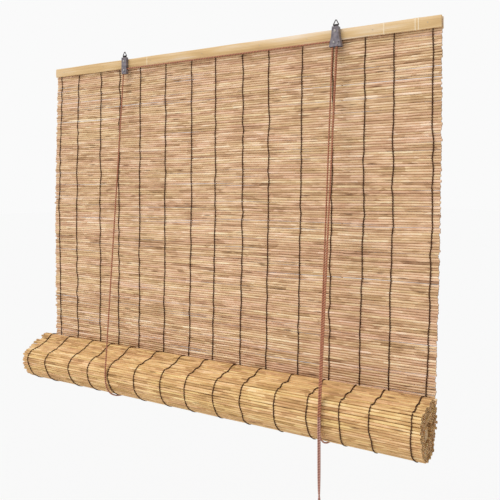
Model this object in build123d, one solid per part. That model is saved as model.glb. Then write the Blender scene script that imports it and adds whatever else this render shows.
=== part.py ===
from build123d import *
import math
import os

# Reed roll-up blind, millimetres. +X along the reeds, -Y to the front, +Z up.
# The origin is the middle of the back head slat's rear face.

# ---- driving dimensions ----
BLIND_WIDTH = 1000.0        # length of the reeds and of the head slats
ROLL_CREST_Z = -687.0       # top of the rolled part, below the head
REED_D = 4.6                # reed diameter
REED_PITCH = 5.0            # reed spacing down the mat
SLAT_HEIGHT = 22.0          # split bamboo head slats
FRONT_SLAT_T = 5.6
BACK_SLAT_T = 5.0
THREAD_D = 1.2              # warp thread
CORD_D = 3.2                # lift cord
SLIP = 0.1                  # face-to-face room between stacked layers
GAP = 0.3                   # room round moving pieces
CORD_ROOM = 1.3             # room in front of a sheave, where its cord slants forward
SHEET_T = 0.8               # sheet steel of the bracket housings
LEFT_X = -256.0             # bracket centres
RIGHT_X = 297.0
WARP_X = (-480, -421, -341, -280, -213, -137, -62, 3, 76, 140.5, 217, 286, 353.5, 413, 485)
COIL_TURN_D = 35.0          # wound-up tail of each pull cord, middle of its turns
TAIL_HANG_Z = -905.0        # where the wound-up length begins

# ---- the stack at the head, from the rear face forward ----
HALF = BLIND_WIDTH / 2
BACK_THREAD_Y = -(BACK_SLAT_T + SLIP + THREAD_D / 2)
REED_Y = BACK_THREAD_Y - THREAD_D / 2 - SLIP - REED_D / 2
FRONT_THREAD_Y = REED_Y - REED_D / 2 - SLIP - THREAD_D / 2
SLAT_REAR_Y = FRONT_THREAD_Y - THREAD_D / 2 - SLIP
SLAT_FACE_Y = SLAT_REAR_Y - FRONT_SLAT_T
SLAT_TOP = SLAT_HEIGHT / 2
NAIL_D = 1.6
NAIL_X = (-470, -330, -180, -30, 120, 230, 370, 475)

os.makedirs("parts", exist_ok=True)


def save(node, *solids):
    """One STEP per sub-part: a lone solid, or a group of separate solids."""
    shape = solids[0] if len(solids) == 1 else Compound(children=list(solids))
    shape.label = node
    export_step(shape, f"parts/{node}.step")


def rod(start, end, diameter):
    """A round bar from one point to another."""
    start, end = Vector(*start), Vector(*end)
    run = end - start
    return extrude(Plane(start, z_dir=run) * Circle(diameter / 2), run.length)


def block(x0, x1, y0, y1, z0, z1):
    size = (x1 - x0, y1 - y0, z1 - z0)
    return Pos((x0 + x1) / 2, (y0 + y1) / 2, (z0 + z1) / 2) * Box(*size)


def in_yz(points, x):
    return [Vector(x, y, z) for y, z in points]


def plate_xz(outline, rear_y, front_y):
    """A shape given in X and Z, extruded forward from rear_y to front_y."""
    plane = Plane((0, rear_y, 0), x_dir=(1, 0, 0), z_dir=(0, -1, 0))
    face = plane * make_face(Polyline(*outline, close=True))
    return extrude(face, rear_y - front_y)


def cord_tube(name, points, radii=None, diameter=CORD_D):
    """A cord along straight runs joined by tangent arcs, with its radii and volume printed."""
    points = [Vector(*p) for p in points]
    if radii is None:
        radii = []
        for a, b, c in zip(points, points[1:], points[2:]):
            turn = math.radians((b - a).get_angle(c - b))
            radii.append(0.45 * min((b - a).length, (c - b).length) / math.tan(turn / 2))
    path = FilletPolyline(*points, radius=radii)
    start = Plane(points[0], z_dir=points[1] - points[0])
    tube = sweep(start * Circle(diameter / 2), path=path)
    share = tube.volume / (math.pi * diameter**2 / 4 * path.length)
    print(f"{name}: length {path.length:.1f}, volume share {share:.4f}, radii", [round(r, 1) for r in radii])
    return tube


# ---- head slats: two split-bamboo laths that hold the top of the mat between them ----
def head_slat(rear_y, front_y, bow):
    """A lath with eased edges, its outer face slightly crowned."""
    mid, top = (rear_y + front_y) / 2, SLAT_TOP
    outer = front_y if bow < 0 else rear_y
    inner = rear_y if bow < 0 else front_y
    edge = outer - bow
    profile = make_face([
        Polyline((outer - bow, -top), (inner, -top), (inner, top), (edge, top)),
        ThreePointArc((edge, top), (outer, 0), (edge, -top)),
    ])
    lath = extrude(Plane((-HALF, 0, 0), x_dir=(0, 1, 0), z_dir=(1, 0, 0)) * profile, BLIND_WIDTH)
    return lath


nail_holes = [rod((x, 1, 0), (x, SLAT_FACE_Y - 3, 0), NAIL_D) for x in NAIL_X]
front_slat = head_slat(SLAT_REAR_Y, SLAT_FACE_Y, -0.7)
back_slat = block(-HALF, HALF, -BACK_SLAT_T, 0, -SLAT_TOP, SLAT_TOP)
for hole in nail_holes:
    front_slat -= hole
    back_slat -= hole

# ---- brackets: folded sheet-steel housings screwed to the front slat, a wire ring on each ----
SHEAVE_R = 5.2
SHEAVE_W = 4.4
SHEAVE_PITCH_R = 4.2        # cord centre round the axle
GROOVE_R = SHEAVE_PITCH_R - CORD_D / 2 - GAP
AXLE_D = 1.8
AXLE_Z = -17.2
HOUSING_TOP = SLAT_TOP + 3.4
HOUSING_BOTTOM = -25.8
HOUSING_REAR_Y = SLAT_FACE_Y - SLIP
CROSS_Z = AXLE_Z + SHEAVE_PITCH_R
SHEAVE_Y = HOUSING_REAR_Y - SHEET_T - GAP - SHEAVE_W / 2
SHEAVE_STEP = SHEAVE_W + GAP
LEFT_FRONT_Y = SHEAVE_Y - SHEAVE_W / 2 - CORD_ROOM - SHEET_T
RIGHT_FRONT_Y = LEFT_FRONT_Y - SHEAVE_STEP
RIGHT_AXLE_X = RIGHT_X - 2.5
RING_Z = HOUSING_TOP + 2.8
RING_WIRE_D = 1.9
COLLAR_W, COLLAR_T, COLLAR_H = 7.6, 5.0, 5.2
SCREW_Z = 5.0
SCREW_D = 3.0
LOCK_D = 5.0
LOCK_PIN_D = 2.0
LOCK_TRAVEL = 3.0
LOCK_DIR = (0.5, 0.866)
LOCK_X = RIGHT_AXLE_X + SHEAVE_PITCH_R + CORD_D / 2 + 0.2 + LOCK_D / 2
LOCK_Z = -20.5


def outline(centre, halves, shrink=0.0):
    """The housing from the front: half widths at its top, waist and bottom."""
    top, waist, bottom = (h - shrink for h in halves)
    zs = (HOUSING_TOP - shrink, -5.6, HOUSING_BOTTOM - (1 if shrink else 0))
    return [
        (centre - top, zs[0]), (centre + top, zs[0]), (centre + waist, zs[1]),
        (centre + bottom, zs[2]), (centre - bottom, zs[2]), (centre - waist, zs[1]),
    ]


def housing(centre, halves, front_y, side):
    """A box open at the bottom, with a notch where the cross cord enters on one side."""
    shell = plate_xz(outline(centre, halves), HOUSING_REAR_Y, front_y)
    shell -= plate_xz(outline(centre, halves, SHEET_T), HOUSING_REAR_Y - SHEET_T, front_y + SHEET_T)
    reach = max(halves) + 2
    x0, x1 = sorted((centre + side * 3.5, centre + side * reach))
    cord_room = CORD_D / 2 + 0.7
    return shell - block(x0, x1, SHEAVE_Y - cord_room, SHEAVE_Y + cord_room, CROSS_Z - 2.6, CROSS_Z + 2.6)


def sheave(x, y):
    """A pulley wheel turning on the Y axis, grooved for the cord and bored for its axle."""
    w, rim, floor, bore = SHEAVE_W / 2, SHEAVE_R, GROOVE_R, AXLE_D / 2 + 0.15
    mouth = w - 0.25
    half = make_face([
        Polyline((bore, -w), (rim, -w), (rim, -mouth)),
        ThreePointArc((rim, -mouth), (floor, 0), (rim, mouth)),
        Polyline((rim, mouth), (rim, w), (bore, w), (bore, -w)),
    ])
    turned = revolve(Plane((0, 0, 0), x_dir=(1, 0, 0), z_dir=(0, 0, 1)) * half, Axis.Y)
    return Pos(x, y, AXLE_Z) * turned


def axle(x, front_y):
    """A rivet through both plates, with a domed head on the front."""
    pin = rod((x, HOUSING_REAR_Y, AXLE_Z), (x, front_y - 0.1, AXLE_Z), AXLE_D)
    head = Cylinder(2.0, 0.9, align=(Align.CENTER, Align.CENTER, Align.MIN))
    head = Pos(x, front_y - SLIP / 2, AXLE_Z) * Rot(X=90) * head
    head = fillet(head.edges().sort_by(Axis.Y)[0], 0.6)
    return pin + head


def screw(x, front_y):
    """A pan-head screw through the housing into the front slat."""
    shank = rod((x, SLAT_FACE_Y + 4.6, SCREW_Z), (x, front_y - 0.1, SCREW_Z), SCREW_D)
    head = Cylinder(2.6, 1.3, align=(Align.CENTER, Align.CENTER, Align.MIN))
    head = Pos(x, front_y - SLIP / 2, SCREW_Z) * Rot(X=90) * head
    head = fillet(head.edges().sort_by(Axis.Y)[0], 0.8)
    slot = block(x - 3, x + 3, front_y - 1.6, front_y - 0.85, SCREW_Z - 0.35, SCREW_Z + 0.35)
    return shank + head - slot


def ring(x, y):
    """A triangular wire eye standing on its base bar."""
    corners = [(-6.5, 0), (6.5, 0), (0, 12.2)]
    path = FilletPolyline(*[(x + a, y, RING_Z + b) for a, b in corners], radius=1.3, close=True)
    start = Plane(origin=path @ 0, z_dir=path % 0)
    return sweep(start * Circle(RING_WIRE_D / 2), path=path)


def collar(x, y):
    """A pressed loop on the housing's top that holds the base bar of the eye."""
    half_w, half_t = COLLAR_W / 2, COLLAR_T / 2
    body = block(x - half_w, x + half_w, y - half_t, y + half_t, HOUSING_TOP, HOUSING_TOP + COLLAR_H)
    body = fillet(body.edges().filter_by(Axis.X).group_by(Axis.Z)[-1], 2.2)
    return body - rod((x - 9, y, RING_Z), (x + 9, y, RING_Z), RING_WIRE_D + 2 * 0.15)


LEFT_HALVES = (7.4, 7.4, 7.4)
RIGHT_HALVES = (6.4, 8.2, 12.9)
left_body = housing(LEFT_X, LEFT_HALVES, LEFT_FRONT_Y, +1)
right_body = housing(RIGHT_X, RIGHT_HALVES, RIGHT_FRONT_Y, -1)
for x, front_y in ((LEFT_X, LEFT_FRONT_Y), (RIGHT_X, RIGHT_FRONT_Y)):
    bore = rod((x, 0, SCREW_Z), (x, front_y - 5, SCREW_Z), SCREW_D)
    axle_x = x if x == LEFT_X else RIGHT_AXLE_X
    pin_bore = rod((axle_x, HOUSING_REAR_Y + 1, AXLE_Z), (axle_x, front_y - 5, AXLE_Z), AXLE_D)
    screw_seat = rod((x, SLAT_FACE_Y + 4.6, SCREW_Z), (x, SLAT_FACE_Y - 2, SCREW_Z), SCREW_D)
    front_slat -= screw_seat
    if x == LEFT_X:
        left_body = left_body - bore - pin_bore
    else:
        right_body = right_body - bore - pin_bore

# the lock roller climbs a slanted slot in both plates of the right housing
slot_end = (LOCK_X + LOCK_DIR[0] * LOCK_TRAVEL, LOCK_Z + LOCK_DIR[1] * LOCK_TRAVEL)
for spot in ((LOCK_X, LOCK_Z), slot_end):
    rear, front = (spot[0], HOUSING_REAR_Y + 1, spot[1]), (spot[0], RIGHT_FRONT_Y - 1, spot[1])
    right_body -= rod(rear, front, LOCK_PIN_D + 0.6)
side = (LOCK_DIR[1] * (LOCK_PIN_D / 2 + 0.3), -LOCK_DIR[0] * (LOCK_PIN_D / 2 + 0.3))
right_body -= plate_xz([
    (LOCK_X + side[0], LOCK_Z + side[1]), (slot_end[0] + side[0], slot_end[1] + side[1]),
    (slot_end[0] - side[0], slot_end[1] - side[1]), (LOCK_X - side[0], LOCK_Z - side[1]),
], HOUSING_REAR_Y + 1, RIGHT_FRONT_Y - 1)
inside = SHEET_T + GAP
roller = rod((LOCK_X, HOUSING_REAR_Y - inside, LOCK_Z), (LOCK_X, RIGHT_FRONT_Y + inside, LOCK_Z), LOCK_D)
roller = chamfer(roller.edges(), 0.4)
roller += rod((LOCK_X, HOUSING_REAR_Y - 0.1, LOCK_Z), (LOCK_X, RIGHT_FRONT_Y - 0.8, LOCK_Z), LOCK_PIN_D)

left_mid_y = (HOUSING_REAR_Y + LEFT_FRONT_Y) / 2
right_mid_y = (HOUSING_REAR_Y + RIGHT_FRONT_Y) / 2
save("left_housing", left_body)
save("left_sheave", sheave(LEFT_X, SHEAVE_Y))
save("left_axle", axle(LEFT_X, LEFT_FRONT_Y))
save("left_screw", screw(LEFT_X, LEFT_FRONT_Y))
save("left_collar", collar(LEFT_X, left_mid_y))
save("left_ring", ring(LEFT_X, left_mid_y))
save("right_housing", right_body)
save("right_rear_sheave", sheave(RIGHT_AXLE_X, SHEAVE_Y))
save("right_front_sheave", sheave(RIGHT_AXLE_X, SHEAVE_Y - SHEAVE_STEP))
save("right_axle", axle(RIGHT_AXLE_X, RIGHT_FRONT_Y))
save("right_screw", screw(RIGHT_X, RIGHT_FRONT_Y))
save("right_collar", collar(RIGHT_X, right_mid_y))
save("right_ring", ring(RIGHT_X, right_mid_y))
save("lock_roller", roller)

# ---- hanging mat: loose reeds side by side, woven together by the warp threads ----
first_row = NAIL_D / 2 + SLIP + REED_D / 2 + 0.2
rows = [first_row, first_row + REED_PITCH, -first_row]
mat_bottom = ROLL_CREST_Z - 14.0
while rows[-1] - REED_PITCH > mat_bottom + REED_D / 2:
    rows.append(rows[-1] - REED_PITCH)
save("hanging_reeds", *[rod((-HALF, REED_Y, z), (HALF, REED_Y, z), REED_D) for z in rows])

for i, x in enumerate(WARP_X, 1):
    save(
        f"warp_thread_{i:02d}",
        rod((x, FRONT_THREAD_Y, SLAT_TOP), (x, FRONT_THREAD_Y, ROLL_CREST_Z + 2), THREAD_D),
        rod((x, BACK_THREAD_Y, SLAT_TOP), (x, BACK_THREAD_Y, mat_bottom), THREAD_D),
    )

# ---- rolled mat: one continuous sheet of reeds wound round the bottom slats ----
# Outer surface of the roll, seen from its right end, from the rear top round
# underneath to the front and back over the top.
ROLL_REAR_Y = REED_Y + REED_D / 2
OUTER = [(ROLL_REAR_Y, mat_bottom), (ROLL_REAR_Y, -718), (-7.4, -738), (-13.5, -759), (-25, -776),
         (-42, -787),
         (-66, -790.5), (-88, -784), (-104, -772), (-114, -756), (-119, -739), (-119, -722), (-112, -708.5),
         (-98, -701), (-77, -696), (-56, -691), (-36, ROLL_CREST_Z), (-19.5, -689)]
ROLL_MID = (-63.0, -743.0)
TURNS = 5.5
TUCK_AT = 0.91              # share of a turn after which the sheet dips under the one before
CORE_R = 16.2


def polar(p):
    return math.atan2(p[1] - ROLL_MID[1], p[0] - ROLL_MID[0]), math.dist(p, ROLL_MID)


def outer_radius(angle):
    """Distance from the roll's middle to its outer surface in one direction."""
    table = sorted((polar(p)[0] % math.tau, polar(p)[1]) for p in OUTER)
    table = [(table[-1][0] - math.tau, table[-1][1])] + table + [(table[0][0] + math.tau, table[0][1])]
    angle %= math.tau
    for (a0, r0), (a1, r1) in zip(table, table[1:]):
        if a0 <= angle <= a1:
            return r0 + (r1 - r0) * (angle - a0) / (a1 - a0)


# The sheet runs clockwise seen from +X: down the rear, under, up the front, over the top, then inward.
START_ANGLE = polar(OUTER[0])[0]
STEPS_PER_TURN = 32
centre_line = []
for step in range(int(TURNS * STEPS_PER_TURN) + 1):
    travelled = step / STEPS_PER_TURN
    angle = START_ANGLE - math.tau * travelled
    full = outer_radius(angle) - REED_D / 2
    turn = int(travelled) + max(0.0, (travelled % 1 - TUCK_AT) / (1 - TUCK_AT))
    radius = CORE_R + (full - CORE_R) * (1 - turn / TURNS)
    centre_line.append((ROLL_MID[0] + radius * math.cos(angle), ROLL_MID[1] + radius * math.sin(angle)))


def offset_line(line, distance):
    """The line moved sideways by a distance, point by point."""
    moved = []
    for i, p in enumerate(line):
        a, b = line[max(i - 1, 0)], line[min(i + 1, len(line) - 1)]
        long = math.dist(a, b)
        moved.append((p[0] - distance * (b[1] - a[1]) / long, p[1] + distance * (b[0] - a[0]) / long))
    return moved


outer_side, inner_side = offset_line(centre_line, REED_D / 2), offset_line(centre_line, -REED_D / 2)
sheet_face = make_face([
    Spline(*outer_side), Spline(*inner_side),
    Line(outer_side[0], inner_side[0]), Line(outer_side[-1], inner_side[-1]),
])
end_plane = Plane((-HALF, 0, 0), x_dir=(0, 1, 0), z_dir=(1, 0, 0))
rolled = extrude(end_plane * sheet_face, BLIND_WIDTH)
rolled_length = sum(math.dist(a, b) for a, b in zip(centre_line, centre_line[1:]))
print(f"rolled sheet {rolled_length:.0f} mm long, {len(centre_line) / STEPS_PER_TURN:.1f} turns")
save("rolled_mat", rolled)

# the threads' outermost turn, lying on the reeds from the rear round to the crest
THREAD_LIFT = 0.35          # threads lie this far off the sheet
turn_points = centre_line[:int(STEPS_PER_TURN * TUCK_AT)]
under, over = (offset_line(turn_points, REED_D / 2 + THREAD_LIFT + d) for d in (0.0, THREAD_D))
thread_face = make_face([Spline(*under), Spline(*over), Line(under[0], over[0]), Line(under[-1], over[-1])])
save("rolled_warp_threads", *[
    extrude(Plane((x - THREAD_D / 2, 0, 0), x_dir=(0, 1, 0), z_dir=(1, 0, 0)) * thread_face, THREAD_D)
    for x in WARP_X
])

# ---- bottom slats at the heart of the roll, with the last reeds between them ----
BOTTOM_T = 4.4
BOTTOM_INSET = 16.0         # the bottom slats stop this far inside the reed ends
bottom_half = HALF - BOTTOM_INSET
core_y, core_z = ROLL_MID
layer = REED_D + 2 * SLIP
front_slat_y, back_slat_y = core_y - layer / 2 - BOTTOM_T, core_y + layer / 2
for name, y in (("bottom_slat_front", front_slat_y), ("bottom_slat_back", back_slat_y)):
    save(name, block(-bottom_half, bottom_half, y, y + BOTTOM_T, core_z - 11, core_z + 11))
save("bottom_reeds", *[
    rod((-bottom_half, core_y, core_z + dz), (bottom_half, core_y, core_z + dz), REED_D)
    for dz in (-7.5, -2.5, 2.5, 7.5)
])

# ---- cords ----
ROLL_FRONT_Y = min(y for y, z in OUTER)
cord_lie = CORD_D / 2 + THREAD_D + THREAD_LIFT + 0.3
CONTACT_Z = -726.0
CORD_END = 0.3              # a slanted run stops this short of the next stretch
LEFT_FRONT_X = -225.0
RIGHT_FRONT_X = 301.4
front_y = ROLL_FRONT_Y - cord_lie
BACK_CORD_Y = -BACK_SLAT_T / 2
loop_points = [(front_y, CONTACT_Z), (front_y, -744), (-117.5, -764), (-104.5, -780.5), (-84, -792.5),
               (-60, -797),
               (-36, -793), (-16.5, -779.5), (-5.5, -759), (BACK_CORD_Y, -735), (BACK_CORD_Y + 0.01, -703)]


def front_run(sheave_x, y, roll_x, roll_y=front_y):
    return [(sheave_x, y, AXLE_Z - CORD_END), (roll_x, roll_y, CONTACT_Z + CORD_END)]


front_sheave_y = SHEAVE_Y - SHEAVE_STEP
left_up = LEFT_X - SHEAVE_PITCH_R
right_up = RIGHT_AXLE_X - SHEAVE_PITCH_R
right_down = RIGHT_AXLE_X + SHEAVE_PITCH_R
TAIL_PLACES = ((302.9, front_y - CORD_D - 0.3), (306.7, front_y - CORD_D - 1.9))
for name, x, run in (
    ("left", LEFT_FRONT_X, front_run(left_up, SHEAVE_Y, LEFT_FRONT_X)),
    ("right", RIGHT_FRONT_X, front_run(right_up, front_sheave_y, RIGHT_FRONT_X)),
):
    save(f"{name}_lift_front", rod(*run, CORD_D))
    save(f"{name}_lift_loop", cord_tube(f"{name}_lift_loop", [(x, y, z) for y, z in loop_points]))
    back_top = -5.0
    save(f"{name}_lift_back", rod((x, BACK_CORD_Y, back_top), (x, BACK_CORD_Y, -702.9), CORD_D))
    back_slat -= rod((x, BACK_CORD_Y, back_top + 0.1), (x, BACK_CORD_Y, -SLAT_TOP - 1), CORD_D + 0.2)

cross_path = [(left_up, SHEAVE_Y, AXLE_Z), (left_up, SHEAVE_Y, CROSS_Z),
              (right_down, SHEAVE_Y, CROSS_Z), (right_down, SHEAVE_Y, AXLE_Z)]
arc = SHEAVE_PITCH_R - 0.01
save("cross_cord", cord_tube("cross_cord", cross_path, [arc, arc]))
top_path = [(right_up, front_sheave_y, AXLE_Z), (right_up, front_sheave_y, CROSS_Z),
            (right_down, front_sheave_y, CROSS_Z), (right_down, front_sheave_y, AXLE_Z)]
save("right_top_cord", cord_tube("right_top_cord", top_path, [arc, arc]))

save("front_head_slat", front_slat)
save("back_head_slat", back_slat)
save("head_nails", *[rod((x, -0.2, 0), (x, SLAT_FACE_Y - 0.3, 0), NAIL_D) for x in NAIL_X])

# the two pull tails: down from the lock, over the roll, then hanging; the spare length is wound up
coil_r, bundle_w, bundle_t = COIL_TURN_D / 2, 16.5, 15.0
for i, sheave_y, (x, tail_y), side in zip((1, 2), (SHEAVE_Y, front_sheave_y), TAIL_PLACES, (1, -1)):
    start, end = (right_down, sheave_y, AXLE_Z - CORD_END), (x, tail_y, CONTACT_Z + CORD_END)
    save(f"pull_tail_{i}_upper", rod(start, end, CORD_D))
    coil_y = tail_y + side * bundle_t / 2
    # the hanging run drops straight, then eases over to the plane of its coil
    run = [(x, tail_y, CONTACT_Z), (x, tail_y, TAIL_HANG_Z + 45),
           (x, coil_y, TAIL_HANG_Z + 22), (x, coil_y, TAIL_HANG_Z)]
    save(f"pull_tail_{i}_lower", cord_tube(f"pull_tail_{i}_lower", run))
    ring_mid = (x, coil_y, TAIL_HANG_Z - 0.1 - coil_r - bundle_w / 2)
    cut = Plane(origin=(x + coil_r, coil_y, ring_mid[2]), x_dir=(1, 0, 0), z_dir=(0, 0, 1))
    section = cut * Ellipse(bundle_w / 2, bundle_t / 2)
    coil = revolve(section, Axis(ring_mid, (0, 1, 0)))
    save(f"pull_tail_{i}_coil", coil)
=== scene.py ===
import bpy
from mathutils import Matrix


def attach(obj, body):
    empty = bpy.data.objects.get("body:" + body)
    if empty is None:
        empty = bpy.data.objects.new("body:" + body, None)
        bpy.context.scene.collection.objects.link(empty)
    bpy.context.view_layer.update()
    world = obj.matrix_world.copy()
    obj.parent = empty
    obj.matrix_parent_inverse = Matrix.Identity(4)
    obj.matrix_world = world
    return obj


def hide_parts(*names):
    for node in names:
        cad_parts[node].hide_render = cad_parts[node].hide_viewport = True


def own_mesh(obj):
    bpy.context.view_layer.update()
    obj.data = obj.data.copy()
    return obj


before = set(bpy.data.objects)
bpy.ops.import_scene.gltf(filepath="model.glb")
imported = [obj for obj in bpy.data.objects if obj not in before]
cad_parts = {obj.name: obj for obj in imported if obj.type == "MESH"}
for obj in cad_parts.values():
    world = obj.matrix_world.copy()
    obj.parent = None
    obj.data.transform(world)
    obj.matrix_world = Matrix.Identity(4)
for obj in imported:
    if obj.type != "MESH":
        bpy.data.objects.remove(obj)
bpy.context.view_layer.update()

import math

import bpy
import numpy as np

bpy.ops.object.select_all(action="DESELECT")

# ---- camera ----
# It stands to the right of the blind and below its head, level, turned 30 degrees to the left.
eye = bpy.data.cameras.new("eye")
eye.lens, eye.sensor_width, eye.shift_y = 43.2, 36.0, -0.12
eye.clip_start, eye.clip_end = 0.02, 200.0
camera = bpy.data.objects.new("camera", eye)
camera.location = (0.745, -1.142, -0.310)
camera.rotation_euler = (math.radians(90), 0, math.radians(30))
bpy.context.collection.objects.link(camera)
bpy.context.scene.camera = camera
bpy.context.scene.view_settings.view_transform = "Standard"

# ---- light and floor ----
# A white room: even light from all round, one broad soft light from the front left, and a
# pale floor well below the hanging cords.
KEY_TURN = (math.radians(41), math.radians(-8), math.radians(-20))
BACKDROP, FILL, KEY = 0.956, 0.60, 1.72


def linear(hex_colour):
    """An sRGB hex colour as linear red, green, blue and alpha."""
    parts = [int(hex_colour[i:i + 2], 16) / 255 for i in (0, 2, 4)]
    return [c / 12.92 if c <= 0.04045 else ((c + 0.055) / 1.055) ** 2.4 for c in parts] + [1.0]


def add_node(tree, kind, settings=None, links=None):
    """Adds a node with its settings, and links it: input name or number -> output socket or value."""
    node = tree.nodes.new(kind)
    for key, value in (settings or {}).items():
        setattr(node, key, value)
    for key, value in (links or {}).items():
        socket = node.inputs[key]
        if isinstance(value, bpy.types.NodeSocket):
            tree.links.new(value, socket)
        else:
            socket.default_value = value
    return node


def new_material(name):
    """An empty material: its tree and its shader, already wired to the output."""
    material = bpy.data.materials.new(name)
    material.use_nodes = True
    return material, material.node_tree, material.node_tree.nodes["Principled BSDF"]


room = bpy.data.worlds.new("white room")
room.use_nodes = True
rays = add_node(room.node_tree, "ShaderNodeLightPath")
strength = add_node(room.node_tree, "ShaderNodeMapRange", None,
                    {"Value": rays.outputs["Is Camera Ray"], "To Min": FILL, "To Max": BACKDROP})
room.node_tree.nodes["Background"].inputs["Color"].default_value = (1, 1, 1, 1)
room.node_tree.links.new(strength.outputs[0], room.node_tree.nodes["Background"].inputs["Strength"])
bpy.context.scene.world = room
key = bpy.data.objects.new("key light", bpy.data.lights.new("key light", "SUN"))
key.data.energy, key.data.angle = KEY, math.radians(40)
key.rotation_euler = KEY_TURN
bpy.context.collection.objects.link(key)
bpy.ops.mesh.primitive_plane_add(size=80, location=(0, 20, -2.2))
floor = bpy.context.active_object
floor.name = "floor"
# paper throws light evenly and has no shine, so the floor meets the backdrop without a line
paper, tree, shader = new_material("matt white paper")
shader.inputs["Base Color"].default_value = linear("F8F8F8")
shader.inputs["Roughness"].default_value = 1.0
shader.inputs["Specular IOR Level"].default_value = 0.0
floor.data.materials.append(paper)
bpy.ops.object.select_all(action="DESELECT")

# ---- hanging mat: reeds ----
# Thin dried reed stems laid side by side, each as long as the blind is wide. They are bought
# raw, so no two are alike in thickness, colour or straightness, and their cut ends are hollow.
REED_R = 0.0023
REED_PITCH = 0.0050
REED_Y = -0.0087
FIRST_ROW = 0.0034
MAT_BOTTOM = -0.701
SLAT_BOTTOM = -0.011
ROLL_TRAVEL = 0.6
END_WALL = 0.0007           # wall left round a stem's hollow
END_STEP = 0.0002
HOLLOW_DEPTH = 0.007
PAINTED_SHADE_SHARE = 0.75           # faces nearer the middle than this share of the radius get the hollow's painted shade
STATIONS = np.linspace(-0.5, 0.5, 8)    # places along a stem where it swells and bends
FAR_OFF = 1.6               # no draw for a stem's shape lies further out than this
SWELL = 0.07                # how unevenly thick one stem is
STEM_SIZE = 1.18            # drawn thicker than the spacing, so that no gap shows between stems
SIZE_SPREAD = 0.06
TONE, TONE_SPREAD = 0.5, 0.07
SWAY_KEPT, SWAY_STEP = 0.9, 0.0004
BOW_OUT, BOW_UP = 0.0003, 0.00012
LEFT_RAGGED, RIGHT_RAGGED = 0.0014, 0.0008
# patterns on the stems: repeats in a metre along and across them, and detail
STREAKS = ((26, 60, 60), 2.0)           # dashes about 40 mm long
GRAIN = ((70, 1300, 1300), 3.0)         # fibres under 1 mm wide
DRIFT = ((9, 40, 40), 2.0)              # pink and yellow stretches about 110 mm long
DASH_CELLS = (30, 90, 90)               # patches about 33 mm long
KNOT_CELLS = (13, 90, 90)               # a knot about every 77 mm
TONE_SHIFT = 60.0                       # moves the pattern on from one stem to the next
chance = np.random.default_rng(11)


def finish_place(piece):
    """Puts the piece's object at the origin, with its place in its mesh."""
    bpy.ops.object.select_all(action="DESELECT")
    piece.select_set(True)
    bpy.context.view_layer.objects.active = piece
    bpy.ops.object.transform_apply(location=True, rotation=True, scale=True)
    piece.select_set(False)


def stem_material(name, shades, tints):
    """Dried reed: matt straw with long fine grain, paler and darker stems, and small dark knots."""
    material, tree, shader = new_material(name)
    place = add_node(tree, "ShaderNodeTexCoord").outputs["Object"]
    tone = add_node(tree, "ShaderNodeAttribute", {"attribute_name": "tone"}).outputs["Fac"]

    apart = add_node(tree, "ShaderNodeMath", {"operation": "MULTIPLY"}, {0: tone, 1: TONE_SHIFT})
    apart = add_node(tree, "ShaderNodeCombineXYZ", None, {"X": apart.outputs[0]})
    own = add_node(tree, "ShaderNodeVectorMath", None, {0: place, 1: apart.outputs[0]}).outputs[0]
    patterns = []
    for scale, detail in (STREAKS, GRAIN, DRIFT):
        stretched = add_node(tree, "ShaderNodeMapping", None, {"Vector": own, "Scale": scale})
        pattern = add_node(tree, "ShaderNodeTexNoise", None,
                           {"Vector": stretched.outputs[0], "Scale": 1.0, "Detail": detail})
        patterns.append(pattern.outputs["Fac"])
    streaks, grain, drift = patterns
    cut = add_node(tree, "ShaderNodeMapping", None, {"Vector": own, "Scale": DASH_CELLS})
    dashes = add_node(tree, "ShaderNodeTexVoronoi", None, {"Vector": cut.outputs[0], "Scale": 1.0})
    dash = add_node(tree, "ShaderNodeSeparateColor", None, {"Color": dashes.outputs["Color"]})
    mixed = tone
    for pattern, share, middle in ((streaks, 0.6, 0.30), (dash.outputs[0], 0.42, 0.20), (grain, 0.5, 0.25)):
        part = add_node(tree, "ShaderNodeMath", {"operation": "MULTIPLY_ADD"},
                        {0: pattern, 1: share, 2: -middle})
        mixed = add_node(tree, "ShaderNodeMath", {"operation": "ADD"},
                         {0: mixed, 1: part.outputs[0]}).outputs[0]
    ramp = add_node(tree, "ShaderNodeValToRGB", None, {"Fac": mixed})
    stops = ramp.color_ramp.elements
    for _ in range(len(shades) - 2):
        stops.new(0.5)
    for stop, (at, shade) in zip(stops, shades):
        stop.position, stop.color = at, linear(shade)
    hue = add_node(tree, "ShaderNodeMapRange", None, {"Value": drift, "From Min": 0.35, "From Max": 0.65})
    tint = add_node(tree, "ShaderNodeMix", {"data_type": "RGBA"},
                    {"Factor": hue.outputs[0], "A": linear(tints[0]), "B": linear(tints[1])})
    tinted = add_node(tree, "ShaderNodeMix", {"data_type": "RGBA", "blend_type": "MULTIPLY"},
                      {"Factor": 1.0, "A": ramp.outputs["Color"], "B": tint.outputs["Result"]})
    cells = add_node(tree, "ShaderNodeMapping", None, {"Vector": own, "Scale": KNOT_CELLS})
    knots = add_node(tree, "ShaderNodeTexVoronoi", None, {"Vector": cells.outputs[0], "Scale": 1.0})
    knot = add_node(tree, "ShaderNodeMapRange", None,
                    {"Value": knots.outputs["Distance"], "From Min": 0.08, "From Max": 0.17,
                     "To Min": 0.75, "To Max": 0.0})
    shade = add_node(tree, "ShaderNodeMix", {"data_type": "RGBA"},
                     {"Factor": knot.outputs[0], "A": tinted.outputs["Result"], "B": linear("6B4424")})
    bump = add_node(tree, "ShaderNodeBump", None, {"Strength": 0.35, "Distance": 0.0004, "Height": grain})
    tree.links.new(shade.outputs["Result"], shader.inputs["Base Color"])
    tree.links.new(bump.outputs["Normal"], shader.inputs["Normal"])
    shader.inputs["Roughness"].default_value = 0.62
    shader.inputs["Specular IOR Level"].default_value = 0.3
    return material


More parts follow.
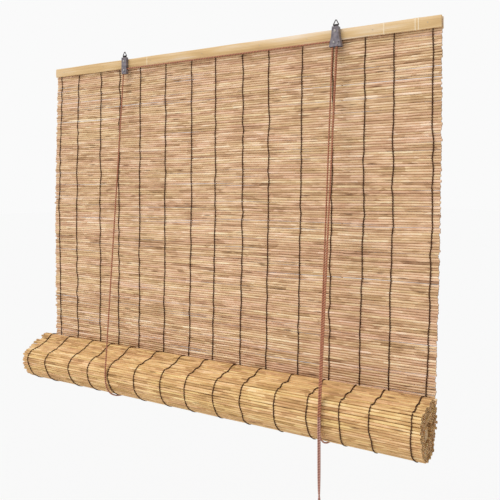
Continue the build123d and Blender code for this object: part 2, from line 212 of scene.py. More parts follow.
dry_reed = stem_material(
    "dried reed, raw",
    ((0.0, "886749"), (0.24, "BF9F7C"), (0.46, "D8BB98"), (0.7, "EAD2B2"), (1.0, "FCF1DC")),
    ("FFEEEB", "FFF8E6"))
# the hollow is painted dark and dull as painted shade, so each cut end reads as a small hole
painted_hollow_shade, tree, shader = new_material("reed pith, dark hollow")
shader.inputs["Base Color"].default_value = linear("7E5A3E")
shader.inputs["Roughness"].default_value = 0.9

# one stem, its hollow ends sunk in, copied for every row
bpy.ops.mesh.primitive_cylinder_add(vertices=6, radius=REED_R, depth=1.0, rotation=(0, math.radians(90), 0))
stem = bpy.context.active_object
stem.name = "stem"
stem.data.materials.append(dry_reed)
stem.data.materials.append(painted_hollow_shade)
finish_place(stem)
stem.rotation_euler = (math.radians(30), 0, 0)
finish_place(stem)
bpy.context.view_layer.objects.active = stem
bpy.ops.object.mode_set(mode="EDIT")
bpy.ops.mesh.select_mode(type="EDGE")
bpy.ops.mesh.select_all(action="DESELECT")
bpy.ops.object.mode_set(mode="OBJECT")
for edge in stem.data.edges:
    a, b = (stem.data.vertices[v].co for v in edge.vertices)
    edge.select = abs(a.x - b.x) > 0.5
bpy.ops.object.mode_set(mode="EDIT")
bpy.ops.mesh.subdivide(number_cuts=len(STATIONS) - 2)
bpy.ops.mesh.select_mode(type="FACE")
bpy.ops.mesh.select_all(action="DESELECT")
bpy.ops.object.mode_set(mode="OBJECT")
for face in stem.data.polygons:
    face.select = abs(face.normal.x) > 0.9
bpy.ops.object.mode_set(mode="EDIT")
bpy.ops.mesh.inset(thickness=END_WALL, use_individual=True)
bpy.ops.mesh.inset(thickness=END_STEP, depth=-HOLLOW_DEPTH, use_individual=True)
bpy.ops.object.mode_set(mode="OBJECT")
# faces inside the hollow get the painted shade
for face in stem.data.polygons:
    corners = [stem.data.vertices[v].co for v in face.vertices]
    face.material_index = int(max(math.hypot(c.y, c.z) for c in corners) < REED_R * PAINTED_SHADE_SHARE)
stem_points = np.array([v.co for v in stem.data.vertices])


def lay_stem(left, right, ends, tone, bend, size):
    """A copy of the stem from left (y, z) to right (y, z), its ends cut a little long or short."""
    copy = stem.copy()
    copy.data = stem.data.copy()
    bpy.context.collection.objects.link(copy)
    points = stem_points.copy()
    along = points[:, 0] + 0.5
    swell = SWELL * chance.standard_normal(len(STATIONS)).clip(-FAR_OFF, FAR_OFF)
    thick = np.interp(points[:, 0], STATIONS, size * (1 + swell))
    for axis, a, b in ((1, left[0], right[0]), (2, left[1], right[1])):
        bent = np.interp(points[:, 0], STATIONS, bend[axis - 1])
        points[:, axis] = points[:, axis] * thick + a + (b - a) * along + bent
    points[:, 0] += ends[0] * (1 - along) + ends[1] * along
    copy.data.vertices.foreach_set("co", points.astype(np.float32).ravel())
    shade = copy.data.attributes.new("tone", "FLOAT", "POINT")
    shade.data.foreach_set("value", np.full(len(points), tone, np.float32))
    return copy


def join_pieces(parts, name):
    """Joins the copies into one piece with smooth sides."""
    bpy.ops.object.select_all(action="DESELECT")
    for part in parts:
        part.select_set(True)
    bpy.context.view_layer.objects.active = parts[0]
    bpy.ops.object.join()
    whole = bpy.context.active_object
    whole.name = whole.data.name = name
    bpy.ops.object.shade_smooth_by_angle(angle=math.radians(65))
    whole.select_set(False)
    return whole


HEIGHTS = (-0.70, -0.36, 0.011)         # the mat hangs a little out of square
LEFT_DRAWN = (-0.005, -0.010, 0.0)
RIGHT_DRAWN = (-0.013, -0.004, -0.0005)
rows = [FIRST_ROW + REED_PITCH, FIRST_ROW, -FIRST_ROW]
while rows[-1] - REED_PITCH > MAT_BOTTOM + REED_R:
    rows.append(rows[-1] - REED_PITCH)
stems = []
sway = np.zeros(len(STATIONS))
for z in rows:
    # each stem lies along the one above
    sway = SWAY_KEPT * sway + SWAY_STEP * chance.standard_normal(len(STATIONS))
    bend = (BOW_OUT * chance.standard_normal(len(STATIONS)),
            sway + BOW_UP * chance.standard_normal(len(STATIONS)))
    ends = (np.interp(z, HEIGHTS, LEFT_DRAWN) + LEFT_RAGGED * chance.standard_normal(),
            np.interp(z, HEIGHTS, RIGHT_DRAWN) + RIGHT_RAGGED * chance.standard_normal())
    stems.append(lay_stem((REED_Y, z), (REED_Y, z), ends, TONE + TONE_SPREAD * chance.standard_normal(),
                          bend, STEM_SIZE + SIZE_SPREAD * chance.standard_normal()))
hanging_mat = join_pieces(stems, "hanging_mat")
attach(hanging_mat, "head")
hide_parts("hanging_reeds")
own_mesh(hanging_mat)

# ---- rolled mat ----
# The rest of the mat, rolled up forwards round its bottom slats. The roll is loose: its top is
# flat and stepped, it is fuller at the right, and the stems stick out unevenly at both ends.
ROLL_MID = (-0.063, -0.743)
TURNS = 5.5
TUCK_AT = 0.91              # share of a turn after which the sheet dips under the one before
CORE_R = 0.0162
STEPS_PER_TURN = 96
ROLL_LEFT_DRAWN, ROLL_RIGHT_DRAWN = -0.006, -0.012
OUTER_RAGGED, INNER_RAGGED, ROLL_RIGHT_RAGGED = 0.0045, 0.006, 0.0009
TOP_STEMS = (0.70, 1.02)    # part of the first turn whose stems stick out further at the left
TOP_OUT = 0.007
OUTER_LOOSE, INNER_LOOSE = 0.0003, 0.0009
ROLL_TONE_SPREAD, ROLL_SIZE_SPREAD = 0.09, 0.07
# the roll's outline at each end, y and z in millimetres from the rear top, under it and round
REAR = [(-6.4, -701), (-6.4, -718), (-7.4, -738), (-13.5, -759), (-25, -776), (-42, -787), (-66, -790.5)]
LEFT_OUTLINE = REAR + [(-92, -781), (-107, -767), (-115.5, -752), (-119, -738), (-119, -726),
                       (-112, -715.5), (-100, -712.5), (-84, -710), (-67, -703), (-55, -695),
                       (-42, -687), (-30, -686.5), (-17, -690)]
RIGHT_OUTLINE = REAR + [(-90, -783.5), (-104, -772), (-113, -757), (-118, -740), (-119, -716), (-117, -700),
                        (-109, -692.5), (-100, -695.5), (-93, -695), (-83, -690.5), (-71, -691), (-61, -695),
                        (-50, -690.5), (-36, -687), (-19, -689)]


def roll_line(outline):
    """The middle of the rolled sheet, point by point from the rear top inwards, in metres."""
    spokes = [(y / 1000 - ROLL_MID[0], z / 1000 - ROLL_MID[1]) for y, z in outline]
    polar = sorted((math.atan2(dz, dy) % math.tau, math.hypot(dz, dy)) for dy, dz in spokes)
    angles = [a for a, _ in polar]
    radii = [r for _, r in polar]
    start = math.atan2(spokes[0][1], spokes[0][0])
    line = []
    for step in range(int(TURNS * STEPS_PER_TURN) + 1):
        gone = step / STEPS_PER_TURN
        angle = start - math.tau * gone
        full = np.interp(angle % math.tau, angles, radii, period=math.tau) - REED_R
        turn = int(gone) + max(0.0, (gone % 1 - TUCK_AT) / (1 - TUCK_AT))
        radius = CORE_R + (full - CORE_R) * (1 - turn / TURNS)
        line.append((ROLL_MID[0] + radius * math.cos(angle), ROLL_MID[1] + radius * math.sin(angle)))
    return np.array(line)


left_line, right_line = roll_line(LEFT_OUTLINE), roll_line(RIGHT_OUTLINE)
mean_line = (left_line + right_line) / 2
run_on = np.concatenate([[0], np.cumsum(np.hypot(*np.diff(mean_line, axis=0).T))])


def on_roll(line, distance):
    """The point a distance along the rolled sheet."""
    return np.array([np.interp(distance, run_on, line[:, k]) for k in (0, 1)])


golden_reed = stem_material(
    "dried reed, golden",
    ((0.0, "7E5E3C"), (0.24, "B59266"), (0.46, "D3B084"), (0.7, "E8CB9D"), (1.0, "FAE8C6")),
    ("FFEEE2", "FFF8DA"))
stem.data.materials[0] = golden_reed
stems = []
FIRST_TURN = run_on[STEPS_PER_TURN]
for i in range(int(run_on[-1] / REED_PITCH)):
    distance = (i + 0.5) * REED_PITCH
    outer = distance < FIRST_TURN
    ragged = OUTER_RAGGED if outer else INNER_RAGGED
    ends = (ROLL_LEFT_DRAWN + ragged * chance.standard_normal(),
            ROLL_RIGHT_DRAWN + ROLL_RIGHT_RAGGED * chance.standard_normal())
    if TOP_STEMS[0] < distance / FIRST_TURN < TOP_STEMS[1]:
        ends = (ends[0] - TOP_OUT, ends[1])
    tone = TONE + ROLL_TONE_SPREAD * chance.standard_normal()
    loose = OUTER_LOOSE if outer else INNER_LOOSE
    bend = loose * chance.standard_normal((2, len(STATIONS))).clip(-FAR_OFF, FAR_OFF)
    stems.append(lay_stem(on_roll(left_line, distance), on_roll(right_line, distance), ends, tone, bend,
                          STEM_SIZE + ROLL_SIZE_SPREAD * chance.standard_normal()))
rolled_mat = join_pieces(stems, "rolled_reeds")
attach(rolled_mat, "roll")
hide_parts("rolled_mat")

# the last four stems, held between the bottom slats
BOTTOM_INSET = 0.016
LAST_ROWS = (-0.0075, -0.0025, 0.0025, 0.0075)
LAST_TONE = 0.45
stems = []
for dz in LAST_ROWS:
    spot = (ROLL_MID[0], ROLL_MID[1] + dz)
    stems.append(lay_stem(spot, spot, (BOTTOM_INSET, -BOTTOM_INSET), LAST_TONE,
                          np.zeros((2, len(STATIONS))), 1.0))
last_stems = join_pieces(stems, "last_stems")
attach(last_stems, "roll")
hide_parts("bottom_reeds")

# ---- warp threads ----
# Dark brown twisted yarn in pairs. The two yarns of a pair go either side of each reed and
# cross between reeds, so each pair shows as one knobbly line on both faces of the mat.
YARN_R = 0.0012
YARN_SIDE = 0.0005
YARN_OFF = REED_R + 0.0009
YARN_PHASE = 0.3
ACROSS = (-0.38, 0.0, 0.38, 0.5)        # points on a yarn for each reed, in reed spacings
FIRST_BEAT_Z = 0.0094
KINK_STEP = 0.018                       # a thread wanders sideways from kink to kink
STRAY_LEFT, STRAY = 0.0014, 0.0009      # the four at the left wander more
STRAY_THREADS = 4
ROLL_KINK_ROWS, ROLL_STRAY = 4, 0.0012
LAP = 1.02                              # turns of the roll that show their threads
# places of the threads along the blind in millimetres, at the top, middle and foot of the mat
THREADS_TOP = (-482, -422, -343, -281, -215, -138, -63, 3, 75, 139, 218, 286, 353, 411, 484)
THREADS_MID = (-495, -431, -348, -285, -218, -140, -64, 1, 73.5, 137.5, 213.5, 282, 349, 407, 482)
THREADS_LOW = (-486, -425, -346, -284, -220, -144, -71, -5.5, 66.5, 131, 206.5, 275.5, 340, 398.5, 471)

# twisted cotton is dull, fuzzy and brown; its grooves get painted shade, near black, and its crowns stay
# brown
yarn, tree, shader = new_material("brown cotton yarn, twisted")
place = add_node(tree, "ShaderNodeTexCoord").outputs["Object"]
fuzz_and_groove_shade = add_node(tree, "ShaderNodeTexNoise", None, {"Vector": place, "Scale": 900.0, "Detail": 3.0})
ramp = add_node(tree, "ShaderNodeValToRGB", None, {"Fac": fuzz_and_groove_shade.outputs["Fac"]})
ramp.color_ramp.elements[0].position, ramp.color_ramp.elements[0].color = 0.35, linear("35200F")
ramp.color_ramp.elements[1].position, ramp.color_ramp.elements[1].color = 0.75, linear("6A4630")
tree.links.new(ramp.outputs["Color"], shader.inputs["Base Color"])
bump = add_node(tree, "ShaderNodeBump", None,
                {"Strength": 0.5, "Distance": 0.0003, "Height": fuzz_and_groove_shade.outputs["Fac"]})
tree.links.new(bump.outputs["Normal"], shader.inputs["Normal"])
shader.inputs["Roughness"].default_value = 0.85
shader.inputs["Specular IOR Level"].default_value = 0.2


def tube(name, lines, radius, material, sides=1):
    """Round yarns or cords along lines of points, as one mesh. sides sets how round they are."""
    curve = bpy.data.curves.new(name, "CURVE")
    curve.dimensions, curve.bevel_depth, curve.bevel_resolution = "3D", radius, sides
    curve.use_fill_caps = True
    for line in lines:
        spline = curve.splines.new("POLY")
        spline.points.add(len(line) - 1)
        spots = np.column_stack([line, np.ones(len(line))])
        spline.points.foreach_set("co", spots.astype(np.float32).ravel())
    piece = bpy.data.objects.new(name, curve)
    bpy.context.collection.objects.link(piece)
    bpy.ops.object.select_all(action="DESELECT")
    piece.select_set(True)
    bpy.context.view_layer.objects.active = piece
    bpy.ops.object.convert(target="MESH")
    piece = bpy.context.active_object
    piece.name = piece.data.name = name
    piece.data.materials.clear()
    piece.data.materials.append(material)
    bpy.ops.object.shade_smooth()
    piece.select_set(False)
    return piece


def weave(beats):
    """How far in front or behind a yarn is: flat over each reed, crossing quickly between reeds."""
    return np.clip(4 * np.cos(math.pi * beats), -1, 1)


beats = (np.arange(len(rows))[:, None] + ACROSS).ravel()
heights = FIRST_BEAT_Z - beats * REED_PITCH
yarn_pair = [
    np.column_stack([side * YARN_SIDE * np.sin(math.pi * beats + YARN_PHASE),
                     REED_Y + side * YARN_OFF * weave(beats), heights])
    for side in (1, -1)
]
one_thread = tube("warp", yarn_pair, YARN_R, yarn, 0)
thread_points = np.array([v.co for v in one_thread.data.vertices])
for i, (top, mid, low) in enumerate(zip(THREADS_TOP, THREADS_MID, THREADS_LOW), 1):
    thread = one_thread.copy()
    thread.data = one_thread.data.copy()
    thread.name = thread.data.name = f"warp_{i:02d}"
    bpy.context.collection.objects.link(thread)
    points = thread_points.copy()
    course = np.interp(points[:, 2], HEIGHTS, [low / 1000, mid / 1000, top / 1000])
    kinks = np.arange(-0.72, 0.03, KINK_STEP)
    stray = STRAY_LEFT if i <= STRAY_THREADS else STRAY
    points[:, 0] += course + np.interp(points[:, 2], kinks, stray * chance.standard_normal(len(kinks)))
    thread.data.vertices.foreach_set("co", points.astype(np.float32).ravel())
    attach(thread, "head")
    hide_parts(f"warp_thread_{i:02d}")
    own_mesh(thread)
bpy.data.objects.remove(one_thread)

# the same threads go on round the roll, under the first turn
beats = (np.arange(1, int(LAP * FIRST_TURN / REED_PITCH))[:, None] + ACROSS).ravel()
turn_lines = []
for low in THREADS_LOW:
    x = low / 1000
    share = x + 0.5
    spots = np.array([on_roll(left_line, b * REED_PITCH) * (1 - share)
                      + on_roll(right_line, b * REED_PITCH) * share for b in beats])
    ahead = np.gradient(spots, axis=0)
    ahead /= np.hypot(*ahead.T)[:, None]
    out = np.column_stack([-ahead[:, 1], ahead[:, 0]])
    out *= np.sign(np.sum(out * (spots - ROLL_MID)))     # away from the roll's middle
    kinks = np.arange(0, beats[-1] + ROLL_KINK_ROWS, ROLL_KINK_ROWS)
    drift = np.interp(beats, kinks, ROLL_STRAY * chance.standard_normal(len(kinks)))
    for side in (1, -1):
        off = side * YARN_OFF * weave(beats)
        yz = spots + out * off[:, None]
        twist = side * YARN_SIDE * np.sin(math.pi * beats + YARN_PHASE)
        turn_lines.append(np.column_stack([x + drift + twist, yz]))
turn_threads = tube("roll_warp", turn_lines, YARN_R, yarn, 0)
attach(turn_threads, "roll")
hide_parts("rolled_warp_threads")

# ---- head slats ----
# Two laths split from one thick bamboo cane, nailed together with the mat's top edge between
# them. The front one keeps the cane's pale waxy skin, its slight crown and its nodes.
SLAT_TOP = 0.011
SLAT_FACE = -0.018
SLAT_REAR = -0.0124
NODES = (-0.190, 0.392, 0.452, 0.458)   # joints of the cane
NODE_NEAR, NODE_FAR = 0.0014, 0.004     # a joint is half as high at the first and gone at the second
NODE_RISE, NODE_PALE = 0.0005, 0.85
CROWN = 0.0011                          # how far the face falls back at its long edges
EDGE_RISE, EDGE_WAVE, WAVES = 0.0004, 0.0003, 31
EDGE_ZONE = 0.0105                      # what lies further out than this is the slat's long edge
# waxy cane skin is pale and fairly glossy, with fine long fibres and lighter joints
bamboo, tree, shader = new_material("split bamboo, waxy skin")
place = add_node(tree, "ShaderNodeTexCoord").outputs["Object"]
joint = add_node(tree, "ShaderNodeAttribute", {"attribute_name": "joint"}).outputs["Fac"]
long_grain = add_node(tree, "ShaderNodeMapping", None, {"Vector": place, "Scale": (6, 900, 900)})
fibre = add_node(tree, "ShaderNodeTexNoise", None,
                 {"Vector": long_grain.outputs[0], "Scale": 1.0, "Detail": 3.0})
patch = add_node(tree, "ShaderNodeMapping", None, {"Vector": place, "Scale": (7, 60, 60)})
blotch = add_node(tree, "ShaderNodeTexNoise", None, {"Vector": patch.outputs[0], "Scale": 1.0, "Detail": 2.0})
both = add_node(tree, "ShaderNodeMath", {"operation": "MULTIPLY_ADD"},
                {0: fibre.outputs["Fac"], 1: 0.45, 2: 0.0})
both = add_node(tree, "ShaderNodeMath", {"operation": "MULTIPLY_ADD"},
                {0: blotch.outputs["Fac"], 1: 0.55, 2: both.outputs[0]})
ramp = add_node(tree, "ShaderNodeValToRGB", None, {"Fac": both.outputs[0]})
stops = [*ramp.color_ramp.elements, ramp.color_ramp.elements.new(0.55)]
for stop, (at, shade) in zip(stops, ((0.25, "B18A55"), (0.8, "EBD09E"), (0.5, "D9B681"))):
    stop.position, stop.color = at, linear(shade)
ringed = add_node(tree, "ShaderNodeMix", {"data_type": "RGBA"},
                  {"Factor": joint, "A": ramp.outputs["Color"], "B": linear("F4E3C6")})
tree.links.new(ringed.outputs["Result"], shader.inputs["Base Color"])
bump = add_node(tree, "ShaderNodeBump", None,
                {"Strength": 0.25, "Distance": 0.0003, "Height": fibre.outputs["Fac"]})
tree.links.new(bump.outputs["Normal"], shader.inputs["Normal"])
shader.inputs["Roughness"].default_value = 0.42

bpy.ops.mesh.primitive_cube_add(size=1, location=(0, (SLAT_FACE + SLAT_REAR) / 2, 0))
front_slat = bpy.context.active_object
front_slat.name = front_slat.data.name = "front_slat"
front_slat.scale = (1.0, SLAT_REAR - SLAT_FACE, 2 * SLAT_TOP)
finish_place(front_slat)
bpy.context.view_layer.objects.active = front_slat
bpy.ops.object.mode_set(mode="EDIT")
for at in (-0.0085, -0.004, 0.004, 0.0085):
    bpy.ops.mesh.select_all(action="SELECT")
    bpy.ops.mesh.bisect(plane_co=(0, 0, at), plane_no=(0, 0, 1))
for node in NODES:
    for off in (-NODE_FAR, -NODE_NEAR, 0.0, NODE_NEAR, NODE_FAR):
        bpy.ops.mesh.select_all(action="SELECT")
        bpy.ops.mesh.bisect(plane_co=(node + off, 0, 0), plane_no=(1, 0, 0))
for at in np.linspace(-0.45, 0.35, 17):
    bpy.ops.mesh.select_all(action="SELECT")
    bpy.ops.mesh.bisect(plane_co=(float(at), 0, 0), plane_no=(1, 0, 0))
bpy.ops.object.mode_set(mode="OBJECT")
points = np.array([v.co for v in front_slat.data.vertices])
near = np.min(np.abs(points[:, :1] - np.array(NODES)[None, :]), axis=1)
ridge = np.interp(near, [0, NODE_NEAR, NODE_FAR], [1.0, 0.5, 0.0])
facing = points[:, 1] < (SLAT_FACE + SLAT_REAR) / 2
points[:, 1] += np.where(facing, CROWN * (points[:, 2] / SLAT_TOP) ** 2 - NODE_RISE * ridge, 0)
at_edge = np.sign(points[:, 2]) * (np.abs(points[:, 2]) > EDGE_ZONE)
points[:, 2] += at_edge * (EDGE_RISE * ridge + EDGE_WAVE * np.sin(points[:, 0] * WAVES))
front_slat.data.vertices.foreach_set("co", points.astype(np.float32).ravel())
mark = front_slat.data.attributes.new("joint", "FLOAT", "POINT")
mark.data.foreach_set("value", np.interp(near, [0, NODE_NEAR], [NODE_PALE, 0.0]).astype(np.float32))
front_slat.data.materials.append(bamboo)
soft_edge = front_slat.modifiers.new("edge", "BEVEL")
soft_edge.width, soft_edge.segments = 0.0006, 2
soft_edge.limit_method, soft_edge.angle_limit = "ANGLE", math.radians(50)
bpy.ops.object.modifier_apply(modifier="edge")
bpy.ops.object.shade_smooth_by_angle(angle=math.radians(35))
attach(front_slat, "head")
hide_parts("front_head_slat")
bpy.ops.object.select_all(action="DESELECT")


def give(material, *names):
    """Gives CAD pieces of the right shape their finish."""
    for name in names:
        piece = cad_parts[name]
        piece.data.materials.clear()
        piece.data.materials.append(material)


give(bamboo, "back_head_slat", "bottom_slat_front", "bottom_slat_back")

# ---- brackets ----
# Pressed sheet-steel housings in grey-brown enamel, with bright rivets and screws, a dark
# collar and a triangular wire eye. The sheaves inside are moulded nylon.
# stove enamel over pressed steel: fairly glossy, faintly mottled, no bare metal
enamel, tree, shader = new_material("grey brown enamel on steel")
place = add_node(tree, "ShaderNodeTexCoord").outputs["Object"]
mottle = add_node(tree, "ShaderNodeTexNoise", None, {"Vector": place, "Scale": 160.0, "Detail": 4.0})
ramp = add_node(tree, "ShaderNodeValToRGB", None, {"Fac": mottle.outputs["Fac"]})
ramp.color_ramp.elements[0].position, ramp.color_ramp.elements[0].color = 0.3, linear("5C565C")
ramp.color_ramp.elements[1].position, ramp.color_ramp.elements[1].color = 0.7, linear("8A8186")
tree.links.new(ramp.outputs["Color"], shader.inputs["Base Color"])
bump = add_node(tree, "ShaderNodeBump", None,
                {"Strength": 0.15, "Distance": 0.0002, "Height": mottle.outputs["Fac"]})
tree.links.new(bump.outputs["Normal"], shader.inputs["Normal"])
shader.inputs["Roughness"].default_value = 0.4
give(enamel, "left_housing", "right_housing")


def metal(name, hex_colour, roughness, metallic=1.0):
    """Steel or nylon with fine uneven gloss."""
    material, tree, shader = new_material(name)
    place = add_node(tree, "ShaderNodeTexCoord").outputs["Object"]
    wear = add_node(tree, "ShaderNodeTexNoise", None, {"Vector": place, "Scale": 700.0, "Detail": 3.0})
    gloss = add_node(tree, "ShaderNodeMapRange", None,
                     {"Value": wear.outputs["Fac"], "To Min": roughness - 0.1, "To Max": roughness + 0.15})
    tree.links.new(gloss.outputs[0], shader.inputs["Roughness"])
    shader.inputs["Base Color"].default_value = linear(hex_colour)
    shader.inputs["Metallic"].default_value = metallic
    return material


give(metal("zinc plated steel", "B9B4AE", 0.32), "head_nails", "left_axle", "right_axle", "left_screw",
     "right_screw", "lock_roller")
give(metal("steel wire, browned", "4A4242", 0.35), "left_ring", "right_ring")
give(metal("black steel, oiled", "2B2523", 0.45, 0.6), "left_collar", "right_collar")
give(metal("moulded nylon", "D9D4C6", 0.45, 0.0), "left_sheave", "right_rear_sheave", "right_front_sheave")

# ---- lift cords ----
# Reddish brown laid cord. Each lift cord is fixed in the back slat, goes down behind the mat,
# under the roll and up the front to its sheave; the left one crosses under the head.
CORD_R = 0.0016
LEFT_UP, RIGHT_UP, RIGHT_DOWN = -0.2602, 0.2903, 0.2987
REAR_SHEAVE_Y, FRONT_SHEAVE_Y = -0.0214, -0.0261
AXLE_Z, CROSS_Z = -0.0172, -0.0130
FRONT_Y = -0.12245
CONTACT_Z = -0.726
BACK_Y = -0.0025
BACK_TOP_Z, BACK_LOW_Z = -0.005, -0.703
LEFT_FRONT_X, RIGHT_FRONT_X = -0.225, 0.3014


def cord_material(name, dark, pale):
    """Laid cord: slanting strands about 4 mm apart, with a painted highlight on their crowns, painted shade
    between them and a soft sheen.
    """
    material, tree, shader = new_material(name)
    place = add_node(tree, "ShaderNodeTexCoord").outputs["Object"]
    slant = add_node(tree, "ShaderNodeMapping", None, {"Vector": place, "Rotation": (0, math.radians(35), 0)})
    lay = add_node(tree, "ShaderNodeTexWave", {"wave_type": "BANDS", "bands_direction": "Z"},
                   {"Vector": slant.outputs[0], "Scale": 80.0, "Distortion": 1.5, "Detail": 1.0})
    # the strands' crowns get a painted highlight and the grooves painted shade
    ramp = add_node(tree, "ShaderNodeValToRGB", None, {"Fac": lay.outputs["Fac"]})
    ramp.color_ramp.elements[0].position, ramp.color_ramp.elements[0].color = 0.1, linear(dark)
    ramp.color_ramp.elements[1].position, ramp.color_ramp.elements[1].color = 0.8, linear(pale)
    tree.links.new(ramp.outputs["Color"], shader.inputs["Base Color"])
    bump = add_node(tree, "ShaderNodeBump", None,
                    {"Strength": 0.6, "Distance": 0.0005, "Height": lay.outputs["Fac"]})
    tree.links.new(bump.outputs["Normal"], shader.inputs["Normal"])
    shader.inputs["Roughness"].default_value = 0.7
    shader.inputs["Sheen Weight"].default_value = 0.3
    return material


red_cord = cord_material("red brown cord, laid", "7B3F26", "BD7B55")


def settled(points):
    """The smooth line that a cord takes along its route, read from a NURBS spline."""
    line = bpy.data.curves.new("line", "CURVE")
    line.dimensions = "3D"
    spline = line.splines.new("NURBS")
    spline.points.add(len(points) - 1)
    for point, spot in zip(spline.points, points):
        point.co = (*spot, 1)
    spline.order_u, spline.use_endpoint_u = 3, True
    guide = bpy.data.objects.new("line", line)
    smooth = [tuple(v.co) for v in bpy.data.meshes.new_from_object(guide).vertices]
    bpy.data.objects.remove(guide)
    return smooth


def held_cord(name, node, points, body, keep=None):
    """A cord the blind holds all the way, in place of its CAD part; a straight run, which shortens as the
    roll rises, gets a mesh of its own.
    """
    piece = tube(name, [np.array(points)], CORD_R, red_cord, 3)
    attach(piece, body)
    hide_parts(node)
    if keep:
        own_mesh(piece)


FRONT_KEEP = 1 - ROLL_TRAVEL / (AXLE_Z - CONTACT_Z)
BACK_KEEP = 1 - ROLL_TRAVEL / (SLAT_BOTTOM - BACK_LOW_Z)
cross = [(LEFT_UP, AXLE_Z), (LEFT_UP, CROSS_Z), (LEFT_UP + 0.019, CROSS_Z),
         (RIGHT_DOWN - 0.019, CROSS_Z), (RIGHT_DOWN, CROSS_Z), (RIGHT_DOWN, AXLE_Z)]
held_cord("cross_run", "cross_cord", settled([(x, REAR_SHEAVE_Y, z) for x, z in cross]), "head")
over = [(RIGHT_UP, AXLE_Z), (RIGHT_UP, CROSS_Z), (RIGHT_DOWN, CROSS_Z), (RIGHT_DOWN, AXLE_Z)]
held_cord("lock_turn", "right_top_cord", settled([(x, FRONT_SHEAVE_Y, z) for x, z in over]), "head")
LOOP = [(-122.45, -726), (-122.45, -744), (-117.5, -764), (-104.5, -780), (-84, -790.5), (-60, -794.5),
        (-36, -791), (-16.5, -779.5), (-5.5, -759), (-2.5, -735), (-2.5, -703)]
LIFTS = (("left", LEFT_UP, REAR_SHEAVE_Y, LEFT_FRONT_X), ("right", RIGHT_UP, FRONT_SHEAVE_Y, RIGHT_FRONT_X))
for side, sheave_x, sheave_y, x in LIFTS:
    held_cord(f"{side}_front_run", f"{side}_lift_front",
              [(sheave_x, sheave_y, AXLE_Z), (x, FRONT_Y, CONTACT_Z)], "head", FRONT_KEEP)
    held_cord(f"{side}_under_loop", f"{side}_lift_loop",
              settled([(x, y / 1000, z / 1000) for y, z in LOOP]), "roll")
    held_cord(f"{side}_back_run", f"{side}_lift_back",
              [(x, BACK_Y, BACK_TOP_Z), (x, BACK_Y, BACK_LOW_Z)], "head", BACK_KEEP)

# ---- pull cords ----
# The two free ends come down from the lock, over the roll's front, and hang. The spare length
# of each is wound into a small tied coil.
# for each: its sheave, the place of its hanging run, and the side that its coil lies on
TAILS = ((REAR_SHEAVE_Y, 0.3029, FRONT_Y - 0.0035, 1), (FRONT_SHEAVE_Y, 0.3067, FRONT_Y - 0.0051, -1))
BELOW_SHEAVE = 0.0003
HANG_Z = -0.905
COIL_R, BUNDLE_W, BUNDLE_T = 0.0175, 0.0165, 0.015
COIL_DROP = 0.0001
SLOTS = [(r, y) for k, r in enumerate((-0.0066, -0.0033, 0.0, 0.0033, 0.0066))
         for y in ((-0.0054, -0.0018, 0.0018, 0.0054) if k % 2 == 0 else (0.0054, 0.0018, -0.0018, -0.0054))]
PER_TURN = 12
SPLINE_SHARE = 0.966        # the spline runs this far out towards its twelve points a turn
SHIFT_FROM = 0.6            # share of a turn after which the cord moves over to the next
TIE_TURNS, TIE_STEPS, TIE_PITCH = 3, 16, 0.0036
TIE_STAND = 0.0017          # middle of the tie off the bundle
KNOT_SIZE, KNOT_DEPTH, KNOT_STEPS = 0.0021, 1.3, 30
# the hanging tails get a paler, pinker copy of the same cord: painted light, as the cord looks paler where it
# hangs in the light against the white backdrop
pull_cord = cord_material("red brown cord, painted paler", "84503F", "BF8E7E")
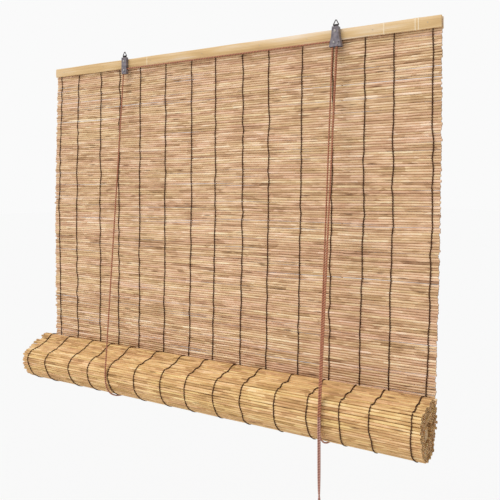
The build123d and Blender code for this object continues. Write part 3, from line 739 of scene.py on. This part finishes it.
for i, (sheave_y, x, y, side) in enumerate(TAILS, 1):
    upper_path = [(RIGHT_DOWN, sheave_y, AXLE_Z - BELOW_SHEAVE), (x, y, CONTACT_Z)]
    upper = tube(f"pull_cord_{i}_upper", [np.array(upper_path)], CORD_R, red_cord, 3)
    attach(upper, "head")
    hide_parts(f"pull_tail_{i}_upper")
    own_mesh(upper)
    coil_y = y + side * BUNDLE_T / 2
    route = [(x, y, CONTACT_Z), (x, y, CONTACT_Z - 0.02), (x, y, HANG_Z + 0.045), (x, coil_y, HANG_Z + 0.022),
             (x, coil_y, HANG_Z)]
    middle_z = HANG_Z - COIL_DROP - COIL_R - BUNDLE_W / 2
    for turn, (dr, dy) in enumerate(SLOTS):
        after = SLOTS[min(turn + 1, len(SLOTS) - 1)]
        for step in range(PER_TURN):
            ease = max(0.0, (step / PER_TURN - SHIFT_FROM) / (1 - SHIFT_FROM))
            radius = (COIL_R + dr + (after[0] - dr) * ease) / SPLINE_SHARE
            angle = math.pi / 2 - math.tau * (step + 1.0) / PER_TURN
            route.append((x + radius * math.cos(angle), coil_y + dy + (after[1] - dy) * ease,
                          middle_z + radius * math.sin(angle)))
    hanging = bpy.data.curves.new(f"pull_cord_{i}_lower", "CURVE")
    hanging.dimensions, hanging.use_fill_caps = "3D", True
    hanging.bevel_depth, hanging.bevel_resolution = CORD_R, 3
    spline = hanging.splines.new("NURBS")
    spline.points.add(len(route) - 1)
    for point, spot in zip(spline.points, route):
        point.co = (*spot, 1)
    spline.order_u, spline.use_endpoint_u = 3, True
    lower = bpy.data.objects.new(f"pull_cord_{i}_lower", hanging)
    bpy.context.collection.objects.link(lower)
    hanging.materials.append(pull_cord)
    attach(lower, "roll")
    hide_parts(f"pull_tail_{i}_lower", f"pull_tail_{i}_coil")

    # three turns of the same cord tie the coil at its top, and the end is an overhand knot
    spin = np.linspace(0, TIE_TURNS * math.tau, TIE_TURNS * TIE_STEPS + 1)
    half_w, half_t = BUNDLE_W / 2 + TIE_STAND, BUNDLE_T / 2 + TIE_STAND
    wraps = np.column_stack([x + TIE_PITCH * (spin / math.tau - TIE_TURNS / 2),
                             coil_y + half_t * np.sin(spin),
                             HANG_Z - BUNDLE_W / 2 + half_w * np.cos(spin)])
    tie = tube(f"pull_cord_{i}_tie", [wraps], CORD_R, pull_cord, 1)
    spin = np.linspace(0, math.tau, KNOT_STEPS + 1)
    lobes = KNOT_SIZE * np.column_stack([np.sin(spin) + 2 * np.sin(2 * spin),
                                         np.cos(spin) - 2 * np.cos(2 * spin),
                                         -KNOT_DEPTH * np.sin(3 * spin)])
    knot = tube(f"pull_cord_{i}_knot", [lobes + np.array(route[-1])], CORD_R, pull_cord, 1)
    for piece in (tie, knot):
        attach(piece, "roll")

bpy.data.objects.remove(stem)
